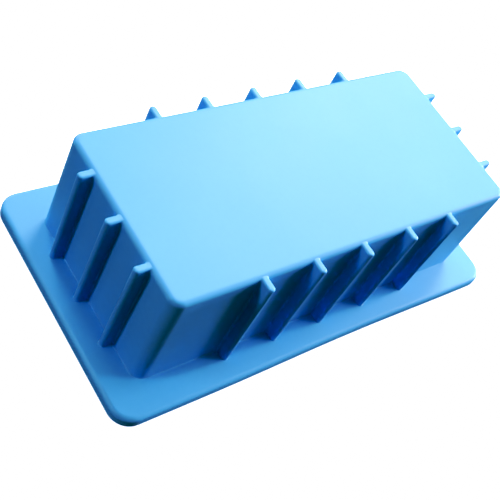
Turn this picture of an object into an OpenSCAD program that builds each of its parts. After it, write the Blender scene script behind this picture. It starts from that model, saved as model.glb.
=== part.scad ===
// Loaf soap mould in silicone, standing upside down on its rim.
// The closed base is on top and the cavity opens downwards through the rim flange.
// Millimetres. +Z up, X along the loaf, Y across it, origin at the centre of the mouth.
// The moulding is divided at its natural borders into panels, a flange and ribs
// that meet face to face.

/* [Loaf body] */
// Outside length across the base
body_l = 211; // [190:0.5:230]
// Outside width across the base
body_w = 94; // [84:0.5:104]
// Height from the rim's underside to the base's outer face
overall_h = 66; // [58:0.5:76]
// Outside radius of the four upright corners
corner_r = 6; // [5.5:0.5:9]
// Radius of the rounded edge around the base's outer face
edge_r = 2.5; // [1:0.1:3]
// How much further out each wall stands at the mouth than at the base panel
draft = 0.7; // [0.2:0.1:2]

/* [Thickness] */
// Thickness of the side and end walls
wall_t = 4; // [3:0.5:5]
// Thickness of the base panel
base_t = 4; // [3.5:0.5:6]

/* [Rim flange] */
// Outside length of the flange
rim_l = 244; // [240:0.5:270]
// Outside width of the flange
rim_w = 129; // [124:0.5:150]
// Thickness of the flange
rim_t = 6.4; // [4:0.1:8]
// Radius of the flange's corners in plan
rim_corner_r = 10.5; // [6:0.5:16]
// Radius of the flange's upper edge
rim_upper_r = 2.4; // [0.5:0.1:3]
// Radius of the flange's lower edge
rim_lower_r = 0.8; // [0.2:0.1:0.9]

/* [Stiffening ribs] */
// Thickness of a rib
rib_t = 3.6; // [2.5:0.1:5]
// How far a rib stands out past the base's outline
rib_reach = 6.8; // [4:0.1:9]
// Spacing of the ribs along the two long sides
side_rib_pitch = 29.7; // [24:0.1:36]
// Spacing of the ribs along the two ends
end_rib_pitch = 25; // [18:0.5:30]
// How far the ribs' tops lie below the base's outer face
rib_drop = 0.4; // [0.2:0.1:1]

/* [Colour] */
// Colour of the silicone
silicone = "#5FB6F2"; // ["#5FB6F2":Sky blue, "#E58FA8":Pink, "#9A9DA0":Grey]

/* [Hidden] */
$fn = 64;
side_ribs = 5;
end_ribs = 3;
// Height at which the base panel meets the walls
seam_z = overall_h - base_t;
// Centre of the +X +Y upright corner
corner_x = body_l / 2 - corner_r;
corner_y = body_w / 2 - corner_r;
// Overrun of a cutting shape past the solid that it cuts
past = 20;

// How far the walls have moved out from the base panel's outline at height z
function lean(z) = draft * (seam_z - z) / seam_z;

// Copies the children to the four corners of a rectangle with half-sizes x and y
module at_corners(x, y) {
    for (sx = [-1, 1], sy = [-1, 1]) {
        translate([sx * x, sy * y, 0]) children();
    }
}

// Extrudes a profile drawn as [distance from the middle, height] to both sides,
// along X or along Y
module both_sides_along_x(length) {
    rotate([90, 0, 90]) linear_extrude(length, center = true) {
        children();
        mirror([1, 0]) children();
    }
}
module both_sides_along_y(length) {
    rotate([90, 0, 0]) linear_extrude(length, center = true) {
        children();
        mirror([1, 0]) children();
    }
}

// Side profile of half a drafted block between two heights
module drafted_half(half, z0, z1) {
    polygon([[0, z0], [half + lean(z0), z0], [half + lean(z1), z1], [0, z1]]);
}

// A block with rounded upright corners whose four sides lean by the draft.
// inset moves every side in from the body's outside.
module drafted_block(inset, z0, z1) {
    both_sides_along_x(2 * corner_x) drafted_half(body_w / 2 - inset, z0, z1);
    both_sides_along_y(2 * corner_y) drafted_half(body_l / 2 - inset, z0, z1);
    at_corners(corner_x, corner_y) translate([0, 0, z0])
        cylinder(h = z1 - z0, r1 = corner_r - inset + lean(z0), r2 = corner_r - inset + lean(z1));
}

// Side profile of half a plate from z = 0 up, with its outer edges rounded
module rounded_half(half, t, upper_r, lower_r) {
    difference() {
        square([half, t]);
        translate([half - upper_r, t - upper_r]) quarter_cove(upper_r);
        if (lower_r > 0) translate([half - lower_r, lower_r]) mirror([0, 1]) quarter_cove(lower_r);
    }
}

// The corner of a square that lies outside its quarter circle
module quarter_cove(r) {
    difference() {
        square(r + 1);
        circle(r);
    }
}

// A plate with rounded corners in plan and rounded edges, standing on z = 0
module rounded_plate(l, w, t, plan_r, upper_r, lower_r) {
    both_sides_along_x(l - 2 * plan_r) rounded_half(w / 2, t, upper_r, lower_r);
    both_sides_along_y(w - 2 * plan_r) rounded_half(l / 2, t, upper_r, lower_r);
    at_corners(l / 2 - plan_r, w / 2 - plan_r)
        rotate_extrude() rounded_half(plan_r, t, upper_r, lower_r);
}

// The soap's space: the outside moved in by the wall's thickness
module cavity(z0, z1) {
    drafted_block(wall_t, z0, z1);
}

// The four walls as one ring, between the flange and the base panel
module wall_ring() {
    difference() {
        drafted_block(0, rim_t, seam_z);
        cavity(rim_t - 1, seam_z + 1);
    }
}

// Prisms that take one wall out of the ring, mitred through the corners
module side_prism(side) {
    linear_extrude(overall_h) polygon([
        [-corner_x - past, side * (corner_y + past)],
        [corner_x + past, side * (corner_y + past)],
        [corner_x - past, side * (corner_y - past)],
        [-corner_x + past, side * (corner_y - past)]
    ]);
}
module end_prism(side) {
    linear_extrude(overall_h) polygon([
        [side * (corner_x + past), -corner_y - past],
        [side * (corner_x + past), corner_y + past],
        [side * (corner_x - past), corner_y - past],
        [side * (corner_x - past), -corner_y + past]
    ]);
}

// A wall along X: side is -1 for the front and 1 for the rear
module side_wall(side) {
    color(silicone) intersection() {
        wall_ring();
        side_prism(side);
    }
}

// A wall along Y: side is -1 for the left end and 1 for the right end
module end_wall(side) {
    color(silicone) intersection() {
        wall_ring();
        end_prism(side);
    }
}

// The closed base of the loaf, uppermost here
module base_panel() {
    color(silicone) translate([0, 0, seam_z])
        rounded_plate(body_l, body_w, base_t, corner_r, edge_r, 0);
}

// The wide flat rim that the mould stands on here
module rim_flange() {
    color(silicone) difference() {
        rounded_plate(rim_l, rim_w, rim_t, rim_corner_r, rim_upper_r, rim_lower_r);
        cavity(-1, rim_t + 1);
    }
}

// Side profile of a rib on a wall whose base outline is at half: it follows the
// drafted wall, then runs in over the base panel's rounded edge
module rib_profile(half) {
    difference() {
        translate([half - edge_r, rim_t])
            square([rib_reach + edge_r, overall_h - rib_drop - rim_t]);
        drafted_half(half, rim_t - 1, seam_z);
        translate([0, seam_z]) rounded_half(half, base_t, edge_r, 0);
    }
}

// A rib standing out along +X at y = 0, with a round nose
module rib(half) {
    nose_r = rib_t / 2;
    color(silicone) intersection() {
        rotate([90, 0, 0]) linear_extrude(rib_t + 2, center = true) rib_profile(half);
        linear_extrude(overall_h) union() {
            translate([half - edge_r - 1, -nose_r]) square([rib_reach + edge_r + 1 - nose_r, rib_t]);
            translate([half + rib_reach - nose_r, 0]) circle(nose_r);
        }
    }
}

// Ribs are numbered from left to right on the sides, and from front to rear on the ends
module front_rib(i) {
    translate([(i - (side_ribs + 1) / 2) * side_rib_pitch, 0, 0]) rotate(-90) rib(body_w / 2);
}
module rear_rib(i) {
    translate([(i - (side_ribs + 1) / 2) * side_rib_pitch, 0, 0]) rotate(90) rib(body_w / 2);
}
module left_rib(i) {
    translate([0, (i - (end_ribs + 1) / 2) * end_rib_pitch, 0]) rotate(180) rib(body_l / 2);
}
module right_rib(i) {
    translate([0, (i - (end_ribs + 1) / 2) * end_rib_pitch, 0]) rib(body_l / 2);
}

base_panel();
side_wall(-1);  // front_wall
side_wall(1);  // rear_wall
end_wall(-1);  // left_end_wall
end_wall(1);  // right_end_wall
rim_flange();
front_rib(1);  // front_rib_1
front_rib(2);  // front_rib_2
front_rib(3);  // front_rib_3
front_rib(4);  // front_rib_4
front_rib(5);  // front_rib_5
rear_rib(1);  // rear_rib_1
rear_rib(2);  // rear_rib_2
rear_rib(3);  // rear_rib_3
rear_rib(4);  // rear_rib_4
rear_rib(5);  // rear_rib_5
left_rib(1);  // left_rib_1
left_rib(2);  // left_rib_2
left_rib(3);  // left_rib_3
right_rib(1);  // right_rib_1
right_rib(2);  // right_rib_2
right_rib(3);  // right_rib_3
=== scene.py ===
"""The looks of the silicone loaf soap mould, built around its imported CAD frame.

Metres, +Z up, the mould upside down on its rim. The continuous skin is one piece, because the
real mould is one moulding, and each stiffening rib is a piece of its own that runs into it.
"""
import math

import bmesh
import bpy
from mathutils import Matrix, Vector


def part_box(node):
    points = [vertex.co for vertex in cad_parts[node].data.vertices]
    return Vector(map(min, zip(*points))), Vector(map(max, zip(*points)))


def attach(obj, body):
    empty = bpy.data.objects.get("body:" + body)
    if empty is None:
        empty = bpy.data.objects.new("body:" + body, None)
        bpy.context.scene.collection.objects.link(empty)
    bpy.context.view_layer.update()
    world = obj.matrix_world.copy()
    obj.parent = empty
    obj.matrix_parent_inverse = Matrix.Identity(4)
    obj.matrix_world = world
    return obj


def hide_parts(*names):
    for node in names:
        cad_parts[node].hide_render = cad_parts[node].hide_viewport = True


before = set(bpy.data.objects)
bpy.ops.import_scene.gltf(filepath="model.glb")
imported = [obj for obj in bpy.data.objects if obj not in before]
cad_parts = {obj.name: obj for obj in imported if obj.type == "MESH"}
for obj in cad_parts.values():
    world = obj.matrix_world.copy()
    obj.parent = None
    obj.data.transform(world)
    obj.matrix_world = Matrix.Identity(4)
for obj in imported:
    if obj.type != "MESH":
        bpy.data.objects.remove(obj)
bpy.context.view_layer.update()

MM = 0.001

# ---------------------------------------------------------------- sizes from the frame
panel_low, panel_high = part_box("base_panel")
rim_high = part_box("rim_flange")[1]
wall_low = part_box("front_wall")[0]
rib_low, rib_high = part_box("front_rib_1")

TOP = panel_high.z
SEAM = panel_low.z
HALF_L, HALF_W = panel_high.x, panel_high.y
RIM_L, RIM_W, RIM_T = rim_high.x, rim_high.y, rim_high.z
# How far the walls lean out at the flange, and so at the mouth
LEAN_AT_RIM = -wall_low.y - HALF_W
DRAFT = LEAN_AT_RIM * SEAM / (SEAM - RIM_T)
RIB_T = rib_high.x - rib_low.x
RIB_TOP = rib_high.z
RIB_REACH = -rib_low.y - HALF_W

# ---------------------------------------------------------------- sizes of the moulding's detail
WALL = 4.0 * MM
CORNER_R = 6.0 * MM
EDGE_R = 2.5 * MM
RIM_CORNER_R = 10.5 * MM
RIM_UPPER_R = 2.4 * MM
RIM_LOWER_R = 0.8 * MM
FOOT_R = 0.5 * MM
MOUTH_R = 0.6 * MM
INNER_R = 2.0 * MM
CAVITY_CORNER_MIN_R = 0.4 * MM
RIB_EDGE_R = 1.0 * MM
RIB_ROOT_R = 0.9 * MM
RIB_FOOT_R = 0.4 * MM
# How deep a rib is sunk into the wall and into the flange, and its fillet's end into the wall
RIB_BURY, RIB_FOOT_BURY, ROOT_BURY = 1.5 * MM, 0.6 * MM, 0.03 * MM
# The front edge of the flange is drawn in by BOW at x = BOW_X, and less to both sides
BOW, BOW_X, BOW_HALF = 1.0 * MM, 18 * MM, 95 * MM
# Outlines in plan: half length, half width, corner radius
BODY = (HALF_L, HALF_W, CORNER_R)
FLANGE = (RIM_L, RIM_W, RIM_CORNER_R)

# ---------------------------------------------------------------- the mesh's density
# Steps in each part of a loop around the body
LONG_STEPS, SHORT_STEPS, CORNER_HALF_STEPS = 60, 26, 5
FILLET_STEPS, SMALL_FILLET_STEPS, WALL_STEPS = 7, 4, 6
RIB_ROOT_STEPS, RIB_NOSE_STEPS, RIB_FOOT_STEPS, RIB_WALL_STEPS, RIB_EDGE_STEPS = 5, 7, 6, 5, 5
# How far the flat grids of the base stay inside its outline, and the width of their border
GRID_INSET, GRID_CELL = 9 * MM, 3 * MM
# Distances from a rounded edge to the extra loop that keeps the surface beside it flat
FACE_HOLD, WALL_HOLD, INNER_HOLD = 1.2 * MM, 0.8 * MM, 1.0 * MM
RIB_HOLD, RIB_EDGE_HOLD = 0.6 * MM, 0.4 * MM
# How strongly large faces pull the averaged normals towards their own
FLAT_WEIGHT = 80

# ---------------------------------------------------------------- the silicone's look
DEEP_BLUE = (0.071, 0.312, 0.665)
MID_BLUE = (0.074, 0.320, 0.675)
PALE_BLUE = (0.077, 0.328, 0.685)
MOTTLE_SHADE, PLAIN_SHADE = (0.965, 0.972, 0.98), (1.0, 1.0, 1.0)
SHEEN, SHEEN_SPREAD = 0.5, 0.012
# Noise cells to the metre
CLOUD_CELLS, MOTTLE_CELLS, WORN_CELLS, WAVE_CELLS, GRAIN_CELLS = 14, 420, 38, 22, 2400
WAVE_DEPTH, GRAIN_DEPTH = 0.1 * MM, 0.03 * MM

# ---------------------------------------------------------------- the camera
CAMERA_AZIMUTH, CAMERA_ELEVATION, CAMERA_ROLL = -58.2, 47.28, 32.12
CAMERA_DISTANCE = 0.4353
CAMERA_TARGET = (-0.0325, -0.0162, 0.033)
SENSOR_MM, LENS_MM = 36, 65.85

# ---------------------------------------------------------------- the studio
SOFTBOX_DISTANCE = 1.5
SOFTBOXES = [
    # name, azimuth, elevation, size, power
    ("key", 34, 40, 0.7, 28),
    ("rear_strip", 84, 22, 0.7, 15),
    ("right_strip", 356, 10, 0.5, 44),
    ("front_right", 332, 25, 0.4, 8.5),
    ("left_fill", 162, 35, 0.3, 4.5),
    ("overhead", 0, 88, 0.8, 1.5),
]
# The world's strength above the horizon, the share of it below, and half the blend's height
WORLD_GLOW, LOWER_SHARE, HORIZON_BLEND = 0.18, 0.3, 0.1
STAGE_GLOW = 1.2
STAGE_SHADE, STAGE_WHITE, STAGE_CELLS = (0.86, 0.865, 0.87), (0.9, 0.9, 0.9), 6
FLOOR_HALF, FLOOR_Z = 4.0, -0.2 * MM
BACKDROP_R, BACKDROP_SIDES, BACKDROP_LOW, BACKDROP_HIGH = 3.9, 48, -0.01, 4
BLACK_POINT = (0.013, 0.016, 0.014)
# The picture's contrast, matched to the photo: (scene value, shown value) points on
# each channel's curve
RED_TONES = [(0.3, 0.35)]
GREEN_TONES = [(0.05, 0.056), (0.2, 0.34), (0.5, 0.59)]
BLUE_TONES = [(0.06, 0.035), (0.2, 0.34), (0.5, 0.78)]


def lean(z):
    """How far the walls stand out past the base panel's outline at height z."""
    return DRAFT * max(0.0, SEAM - z) / SEAM


# ---------------------------------------------------------------- mesh helpers
def spread(low, high, steps):
    """steps evenly spaced values from low, leaving out high."""
    return [low + (high - low) * i / steps for i in range(steps)]


def quarter(steps=FILLET_STEPS):
    """(sine, 1 - cosine) along a quarter turn, after its first point."""
    angles = [math.pi / 2 * i / steps for i in range(1, steps + 1)]
    return [(math.sin(a), 1 - math.cos(a)) for a in angles]


def rounded_loop(half_x, half_y, radius, z):
    """Points round a rounded rectangle, anticlockwise from the start of its front side."""
    points = []
    flat_x, flat_y = half_x - radius, half_y - radius
    corner = 2 * CORNER_HALF_STEPS
    sides = [
        # a side's start, end and steps, then the next corner's centre and first angle
        ((-flat_x, -half_y), (flat_x, -half_y), LONG_STEPS, (flat_x, -flat_y), -90),
        ((half_x, -flat_y), (half_x, flat_y), SHORT_STEPS, (flat_x, flat_y), 0),
        ((flat_x, half_y), (-flat_x, half_y), LONG_STEPS, (-flat_x, flat_y), 90),
        ((-half_x, flat_y), (-half_x, -flat_y), SHORT_STEPS, (-flat_x, -flat_y), 180),
    ]
    for start, end, steps, centre, start_angle in sides:
        points += [Vector(start).lerp(Vector(end), i / steps) for i in range(steps)]
        for i in range(corner):
            angle = math.radians(start_angle + 90 * i / corner)
            points.append(Vector((
                centre[0] + radius * math.cos(angle), centre[1] + radius * math.sin(angle))))
    return [Vector((p.x, p.y, z)) for p in points]


def grid_axis(half, cell, steps):
    """Grid lines across a flat face: its corner cells' lines at each end, even ones between."""
    near = [-half + cell * i / CORNER_HALF_STEPS for i in range(CORNER_HALF_STEPS)]
    middle = [-half + cell + 2 * (half - cell) * i / steps for i in range(steps + 1)]
    return near + middle + [-x for x in reversed(near)]


def square_loop(xs, ys):
    """Indices (i, j) round the border of a grid, in the same order as rounded_loop's points."""
    k, last_i, last_j = CORNER_HALF_STEPS, len(xs) - 1, len(ys) - 1
    front = [(i, 0) for i in range(k, last_i)]
    right = [(last_i, j) for j in range(0, last_j)]
    rear = [(i, last_j) for i in range(last_i, 0, -1)]
    left = [(0, j) for j in range(last_j, 0, -1)]
    return front + right + rear + left + [(i, 0) for i in range(0, k)]


def bridge(bm, ring_a, ring_b):
    """Quads between two closed rings of vertices."""
    n = len(ring_a)
    for i in range(n):
        j = (i + 1) % n
        bm.faces.new((ring_a[i], ring_a[j], ring_b[j], ring_b[i]))


def add_ring(bm, points):
    """A ring of new vertices."""
    return [bm.verts.new(p) for p in points]


def add_grid(bm, half_x, half_y, z):
    """A flat grid of quads. Returns its border's vertices in the order of rounded_loop's points."""
    xs = grid_axis(half_x, GRID_CELL, LONG_STEPS)
    ys = grid_axis(half_y, GRID_CELL, SHORT_STEPS)
    at = {(i, j): bm.verts.new((x, y, z)) for i, x in enumerate(xs) for j, y in enumerate(ys)}
    for i in range(len(xs) - 1):
        for j in range(len(ys) - 1):
            bm.faces.new((at[i, j], at[i + 1, j], at[i + 1, j + 1], at[i, j + 1]))
    return [at[key] for key in square_loop(xs, ys)]


def finished_object(name, bm):
    """A mesh object from bm, smooth, with flat faces kept flat right up to their rounded edges."""
    bmesh.ops.recalc_face_normals(bm, faces=bm.faces)
    mesh = bpy.data.meshes.new(name)
    bm.to_mesh(mesh)
    bm.free()
    mesh.polygons.foreach_set("use_smooth", [True] * len(mesh.polygons))
    made = bpy.data.objects.new(name, mesh)
    bpy.context.scene.collection.objects.link(made)
    weighted = made.modifiers.new("flat_faces_stay_flat", "WEIGHTED_NORMAL")
    weighted.mode = "FACE_AREA"
    weighted.weight = FLAT_WEIGHT
    return made


# ---------------------------------------------------------------- the skin
def grown(outline, out, z):
    """A loop's measures: an outline moved outwards by out, at height z."""
    half_x, half_y, radius = outline
    return half_x + out, half_y + out, radius + out, z


def outside_rings():
    """Loops down the outside, from the flat base to the flange's upper face."""
    rings = [grown(BODY, -EDGE_R - step_in, TOP) for step_in in (FACE_HOLD, 0)]
    for sine, fall in quarter():
        rings.append(grown(BODY, -EDGE_R * (1 - sine), TOP - EDGE_R * fall))
    wall_top, wall_foot = TOP - EDGE_R, RIM_T + FOOT_R
    heights = [wall_top - WALL_HOLD]
    heights += spread(SEAM - 2 * MM, wall_foot + 2 * MM, WALL_STEPS)
    heights += [wall_foot + WALL_HOLD, wall_foot]
    rings += [grown(BODY, lean(z), z) for z in heights]
    for sine, rise in quarter():
        rings.append(grown(BODY, lean(RIM_T) + FOOT_R * rise, RIM_T + FOOT_R * (1 - sine)))
    return rings


def flange_rings():
    """Loops round the flange's outer edge, from its upper face to its underside."""
    rings = [grown(FLANGE, -RIM_UPPER_R - step_in, RIM_T) for step_in in (FACE_HOLD, 0)]
    for sine, fall in quarter():
        rings.append(grown(FLANGE, -RIM_UPPER_R * (1 - sine), RIM_T - RIM_UPPER_R * fall))
    rings.append(grown(FLANGE, 0, RIM_LOWER_R))
    for sine, inward in quarter(SMALL_FILLET_STEPS):
        rings.append(grown(FLANGE, -RIM_LOWER_R * inward, RIM_LOWER_R * (1 - sine)))
    rings.append(grown(FLANGE, -RIM_LOWER_R - INNER_HOLD, 0.0))
    return rings


def cavity_rings():
    """Loops up the inside, from the mouth's edge to the flat of the inner base."""
    rings = []

    def loop(inset, z):
        half_x, half_y, radius, _ = grown(BODY, lean(z) - WALL - inset, z)
        rings.append((half_x, half_y, max(radius, CAVITY_CORNER_MIN_R), z))

    for step_out in (INNER_HOLD, 0):
        loop(-MOUTH_R - step_out, 0.0)
    for sine, rise in quarter(SMALL_FILLET_STEPS):
        loop(-MOUTH_R * (1 - sine), MOUTH_R * rise)
    ceiling = SEAM - INNER_R
    for z in spread(2 * MM, ceiling - INNER_HOLD, WALL_STEPS) + [ceiling]:
        loop(0, z)
    for sine, inward in quarter():
        loop(INNER_R * inward, ceiling + INNER_R * sine)
    loop(INNER_R + INNER_HOLD, SEAM)
    return rings


def bowed(point):
    """A flange point, drawn in where the soft front edge sags between its corners."""
    reach = (-point.y - HALF_W - RIB_REACH) / (RIM_W - HALF_W - RIB_REACH)
    along = (point.x - BOW_X) / BOW_HALF
    if reach <= 0 or abs(along) >= 1:
        return point
    return Vector((point.x, point.y + BOW * reach * math.cos(math.pi / 2 * along) ** 2, point.z))


def build_skin():
    """The flange, the walls and the base as one closed surface."""
    bm = bmesh.new()
    base = add_grid(bm, HALF_L - GRID_INSET, HALF_W - GRID_INSET, TOP)
    body = [add_ring(bm, rounded_loop(*r)) for r in outside_rings()]
    flange = [add_ring(bm, map(bowed, rounded_loop(*r))) for r in flange_rings()]
    cavity = [add_ring(bm, rounded_loop(*r)) for r in cavity_rings()]
    inner = WALL + GRID_INSET
    ceiling = add_grid(bm, HALF_L - inner, HALF_W - inner, SEAM)
    chain = [base] + body + flange + cavity + [ceiling]
    for ring_a, ring_b in zip(chain, chain[1:]):
        bridge(bm, ring_a, ring_b)
    return finished_object("mould_skin", bm)


# ---------------------------------------------------------------- a rib
def wall_face(half, z):
    """How far the body's outer surface is from the middle at height z, its top edge included."""
    height_in_edge = z - (TOP - EDGE_R)
    if height_in_edge <= 0:
        return half + lean(z)
    return half - EDGE_R + math.sqrt(max(0.0, EDGE_R ** 2 - height_in_edge ** 2))


def rib_outline(half, z, swell):
    """Half of a rib's outline in plan, from inside the wall to the nose, as (out, across).

    swell moves the surface outwards where the rib runs into the flange, and inwards at its
    top edge.
    """
    face = wall_face(half, z)
    nose_r = RIB_T / 2
    root_x, root_y = face + RIB_ROOT_R, nose_r + RIB_ROOT_R
    arc = RIB_ROOT_R - swell
    points = [(face - RIB_BURY, root_y), (face + swell - ROOT_BURY, root_y)]
    for i in range(1, RIB_ROOT_STEPS + 1):
        angle = math.pi / 2 * i / RIB_ROOT_STEPS
        points.append((root_x - arc * math.cos(angle), root_y - arc * math.sin(angle)))
    nose_x, swollen = half + RIB_REACH - nose_r, nose_r + swell
    for share in (0.25, 0.5, 0.75):
        points.append((root_x + (nose_x - root_x) * share, swollen))
    for i in range(RIB_NOSE_STEPS):
        # The last point lies half a step short of the middle, so that the halves meet evenly
        angle = math.pi / 2 * (1 - i / (RIB_NOSE_STEPS - 0.5))
        points.append((nose_x + swollen * math.cos(angle), swollen * math.sin(angle)))
    return points


def rib_levels():
    """(height, swell) up a rib: buried foot, fillet, straight sides, rounded top edge."""
    levels = [(RIM_T - RIB_FOOT_BURY, RIB_FOOT_R * 0.9)]
    for i in range(RIB_FOOT_STEPS + 1):
        angle = math.radians(80 - 80 * i / RIB_FOOT_STEPS)
        height = RIM_T + RIB_FOOT_R * (1 - math.sin(angle))
        levels.append((height, RIB_FOOT_R * (1 - math.cos(angle))))
    low, bend, high = RIM_T + RIB_FOOT_R, TOP - EDGE_R, RIB_TOP - RIB_EDGE_R
    straight = [low + RIB_HOLD] + spread(low + 4 * MM, bend, RIB_WALL_STEPS)
    straight += [bend, bend + RIB_HOLD, high - RIB_EDGE_HOLD, high]
    levels += [(z, 0.0) for z in straight]
    for sine, inward in quarter(RIB_EDGE_STEPS):
        levels.append((high + RIB_EDGE_R * sine, -RIB_EDGE_R * inward))
    return levels


def build_rib(name, half, along, turn):
    """A rib that stands out along +X from a wall, moved to y = along, then turned about Z."""
    bm = bmesh.new()
    rings = []
    for z, swell in rib_levels():
        side = rib_outline(half, z, swell)
        both = [(x, -y) for x, y in side] + [(x, y) for x, y in reversed(side)]
        rings.append(add_ring(bm, [(x, y, z) for x, y in both]))
    for ring_a, ring_b in zip(rings, rings[1:]):
        bridge(bm, ring_a, ring_b)
    for ring in (rings[0], rings[-1]):
        count = len(ring)
        for i in range(count // 2 - 1):
            bm.faces.new((ring[i], ring[i + 1], ring[count - 2 - i], ring[count - 1 - i]))
    place = Matrix.Rotation(turn, 4, "Z") @ Matrix.Translation((0, along, 0))
    bmesh.ops.transform(bm, matrix=place, verts=bm.verts)
    return finished_object(name, bm)


def rib_nodes(wall):
    """The CAD ribs on one wall, in order."""
    return sorted(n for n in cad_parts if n.startswith(wall + "_rib_"))


# ---------------------------------------------------------------- materials
def node_kit(owner):
    """An emptied node tree's helpers: one that adds a node with its inputs set, one that links."""
    owner.use_nodes = True
    tree = owner.node_tree
    tree.nodes.clear()

    def add(kind, **values):
        node = tree.nodes.new(kind)
        for key, value in values.items():
            if key[0].isupper():
                node.inputs[key.replace("_", " ")].default_value = value
            else:
                setattr(node, key, value)
        return node

    def link(source, target):
        tree.links.new(source, target)

    return add, link


def noise(add, link, where, scale, detail, roughness=0.5):
    """A 3-D noise of so many cells to the metre."""
    texture = add("ShaderNodeTexNoise", Scale=scale, Detail=detail, Roughness=roughness)
    link(where, texture.inputs["Vector"])
    return texture.outputs["Fac"]


def remapped(add, link, value, low, high, to_low, to_high):
    """value moved from the range low..high to to_low..to_high."""
    node = add("ShaderNodeMapRange")
    for socket, number in zip(node.inputs[1:5], (low, high, to_low, to_high)):
        socket.default_value = number
    link(value, node.inputs["Value"])
    return node.outputs["Result"]


def colour_ramp(add, link, value, stops):
    """value as a colour, blended between (position, colour) stops."""
    ramp = add("ShaderNodeValToRGB")
    elements = ramp.color_ramp.elements
    while len(elements) < len(stops):
        elements.new(0.5)
    for element, (position, colour) in zip(elements, stops):
        element.position = position
        element.color = (*colour, 1)
    link(value, ramp.inputs["Fac"])
    return ramp.outputs["Color"]


def multiplied(add, link, first, second):
    """Two colours multiplied, channel by channel."""
    node = add("ShaderNodeMix", data_type="RGBA", blend_type="MULTIPLY")
    node.inputs["Factor"].default_value = 1.0
    link(first, node.inputs["A"])
    link(second, node.inputs["B"])
    return node.outputs["Result"]


def relief(add, link, height, strength, depth):
    """A bump node in which the surface follows height, by depth at a strength of 1."""
    node = add("ShaderNodeBump", Strength=strength, Distance=depth)
    link(height, node.inputs["Height"])
    return node


def silicone_material():
    """Opaque sky-blue silicone: satin-matte, a little light soaking in, faint moulded grain."""
    made = bpy.data.materials.new("silicone")
    add, link = node_kit(made)
    shader = add(
        "ShaderNodeBsdfPrincipled", Subsurface_Weight=0.06, Subsurface_Scale=1.5 * MM, IOR=1.42,
        Specular_IOR_Level=0.34, Subsurface_Radius=(0.25, 0.6, 1.0))
    link(shader.outputs["BSDF"], add("ShaderNodeOutputMaterial").inputs["Surface"])
    where = add("ShaderNodeTexCoord").outputs["Object"]

    # The pigment: wide soft clouds, and a fine mottling within them
    clouds = noise(add, link, where, CLOUD_CELLS, 3)
    mottle = noise(add, link, where, MOTTLE_CELLS, 4, 0.6)
    blues = [(0.32, DEEP_BLUE), (0.5, MID_BLUE), (0.68, PALE_BLUE)]
    pigment = colour_ramp(add, link, clouds, blues)
    shade = colour_ramp(add, link, mottle, [(0.3, MOTTLE_SHADE), (0.7, PLAIN_SHADE)])
    link(multiplied(add, link, pigment, shade), shader.inputs["Base Color"])

    # The sheen: handled patches are a little smoother, the others a little rougher
    worn = noise(add, link, where, WORN_CELLS, 4, 0.55)
    roughness = remapped(add, link, worn, 0.3, 0.7, SHEEN - SHEEN_SPREAD, SHEEN + SHEEN_SPREAD)
    link(roughness, shader.inputs["Roughness"])

    # The relief: a slow wave in the soft walls, under the grain that the steel mould left
    wave = relief(add, link, noise(add, link, where, WAVE_CELLS, 1), 0.2, WAVE_DEPTH)
    grain = relief(add, link, noise(add, link, where, GRAIN_CELLS, 3, 0.6), 0.10, GRAIN_DEPTH)
    link(wave.outputs["Normal"], grain.inputs["Normal"])
    link(grain.outputs["Normal"], shader.inputs["Normal"])
    return made


def stage_material():
    """A studio sweep that glows white. Its colour is very faintly uneven."""
    made = bpy.data.materials.new("stage")
    add, link = node_kit(made)
    shader = add("ShaderNodeBsdfPrincipled", Roughness=0.9, Emission_Strength=STAGE_GLOW)
    link(shader.outputs["BSDF"], add("ShaderNodeOutputMaterial").inputs["Surface"])
    where = add("ShaderNodeTexCoord").outputs["Object"]
    unevenness = noise(add, link, where, STAGE_CELLS, 2)
    paper = colour_ramp(add, link, unevenness, [(0.3, STAGE_SHADE), (0.7, STAGE_WHITE)])
    link(paper, shader.inputs["Base Color"])
    shader.inputs["Emission Color"].default_value = (1, 1, 1, 1)
    return made


# ---------------------------------------------------------------- camera, light and stage
def add_camera():
    """The camera stands off the left front corner, looks down and is rolled."""
    azimuth, elevation = math.radians(CAMERA_AZIMUTH), math.radians(CAMERA_ELEVATION)
    back = Vector((
        math.sin(azimuth) * math.cos(elevation),
        -math.cos(azimuth) * math.cos(elevation),
        math.sin(elevation),
    ))
    data = bpy.data.cameras.new("camera")
    data.sensor_width = SENSOR_MM
    data.lens = LENS_MM
    camera = bpy.data.objects.new("camera", data)
    bpy.context.scene.collection.objects.link(camera)
    place = Matrix.Translation(Vector(CAMERA_TARGET) + back * CAMERA_DISTANCE)
    level = (-back).to_track_quat("-Z", "Y").to_matrix().to_4x4()
    camera.matrix_world = place @ level @ Matrix.Rotation(math.radians(CAMERA_ROLL), 4, "Z")
    bpy.context.scene.camera = camera


def add_softbox(name, azimuth, elevation, size, power):
    """A round softbox that faces the mould. Azimuth is from +X towards +Y, in degrees."""
    a, e = math.radians(azimuth), math.radians(elevation)
    towards = Vector((math.cos(a) * math.cos(e), math.sin(a) * math.cos(e), math.sin(e)))
    data = bpy.data.lights.new(name, "AREA")
    data.shape = "DISK"
    data.size = size
    data.energy = power
    lamp = bpy.data.objects.new(name, data)
    bpy.context.scene.collection.objects.link(lamp)
    lamp.location = towards * SOFTBOX_DISTANCE + Vector((0, 0, TOP / 2))
    lamp.rotation_mode = "QUATERNION"
    lamp.rotation_quaternion = towards.to_track_quat("Z", "Y")


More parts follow.
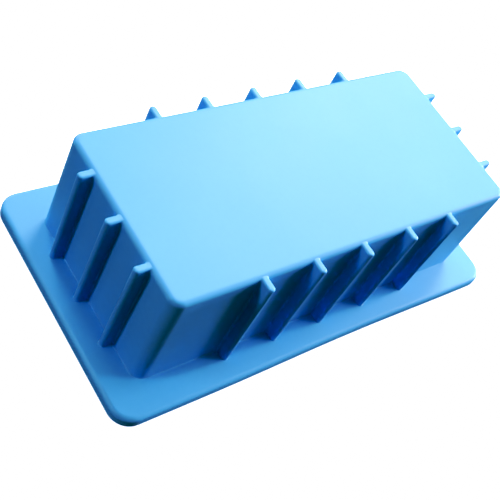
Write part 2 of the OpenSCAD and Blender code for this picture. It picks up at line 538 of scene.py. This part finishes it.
def add_world():
    """An even glow from above the horizon, and a weaker one from below it."""
    world = bpy.data.worlds.new("studio")
    add, link = node_kit(world)
    background = add("ShaderNodeBackground", Color=(1, 1, 1, 1))
    link(background.outputs["Background"], add("ShaderNodeOutputWorld").inputs["Surface"])
    direction = add("ShaderNodeSeparateXYZ")
    link(add("ShaderNodeTexCoord").outputs["Generated"], direction.inputs["Vector"])
    glow = remapped(
        add, link, direction.outputs["Z"],
        -HORIZON_BLEND, HORIZON_BLEND, LOWER_SHARE * WORLD_GLOW, WORLD_GLOW)
    link(glow, background.inputs["Strength"])
    bpy.context.scene.world = world


def add_stage(material):
    """A floor and a round backdrop. They don't throw their white back at the mould."""
    bm = bmesh.new()
    half = FLOOR_HALF
    corners = [(-half, -half), (half, -half), (half, half), (-half, half)]
    bm.faces.new(add_ring(bm, [(x, y, FLOOR_Z) for x, y in corners]))
    floor = finished_object("floor", bm)
    bm = bmesh.new()
    turns = [2 * math.pi * i / BACKDROP_SIDES for i in range(BACKDROP_SIDES)]
    circle = [(BACKDROP_R * math.cos(t), BACKDROP_R * math.sin(t)) for t in turns]
    rings = [add_ring(bm, [(x, y, z) for x, y in circle]) for z in (BACKDROP_LOW, BACKDROP_HIGH)]
    bridge(bm, *rings)
    backdrop = finished_object("backdrop", bm)
    backdrop.visible_shadow = False
    for piece in (floor, backdrop):
        piece.data.materials.append(material)
        piece.visible_diffuse = False
        piece.visible_glossy = False


def set_view():
    """Plain colours, with the stronger contrast of a product shot."""
    view = bpy.context.scene.view_settings
    view.view_transform = "Standard"
    view.use_curve_mapping = True
    mapping = view.curve_mapping
    # Values past 1 stay white
    mapping.extend = "HORIZONTAL"
    mapping.black_level = BLACK_POINT
    for curve, points in zip(mapping.curves, (RED_TONES, GREEN_TONES, BLUE_TONES)):
        for seen, shown in points:
            curve.points.new(seen, shown)
    mapping.update()


# ---------------------------------------------------------------- the scene
silicone = silicone_material()

skin = build_skin()
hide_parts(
    "base_panel", "front_wall", "rear_wall", "left_end_wall", "right_end_wall", "rim_flange")
made_pieces = [skin]
WALLS = {
    # wall: (half-size of the body towards it, turn that points +X at it)
    "front": (HALF_W, -math.pi / 2),
    "rear": (HALF_W, math.pi / 2),
    "left": (HALF_L, math.pi),
    "right": (HALF_L, 0.0),
}
for wall, (half, turn) in WALLS.items():
    for node in rib_nodes(wall):
        low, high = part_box(node)
        middle = (low + high) / 2
        centre = Matrix.Rotation(-turn, 4, "Z") @ Vector((middle.x, middle.y, 0))
        rib = build_rib(node + "_skin", half, centre.y, turn)
        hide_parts(node)
        made_pieces.append(rib)

for piece in made_pieces:
    piece.data.materials.append(silicone)
    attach(piece, "root")

add_camera()
add_stage(stage_material())
for softbox in SOFTBOXES:
    add_softbox(*softbox)
add_world()
set_view()
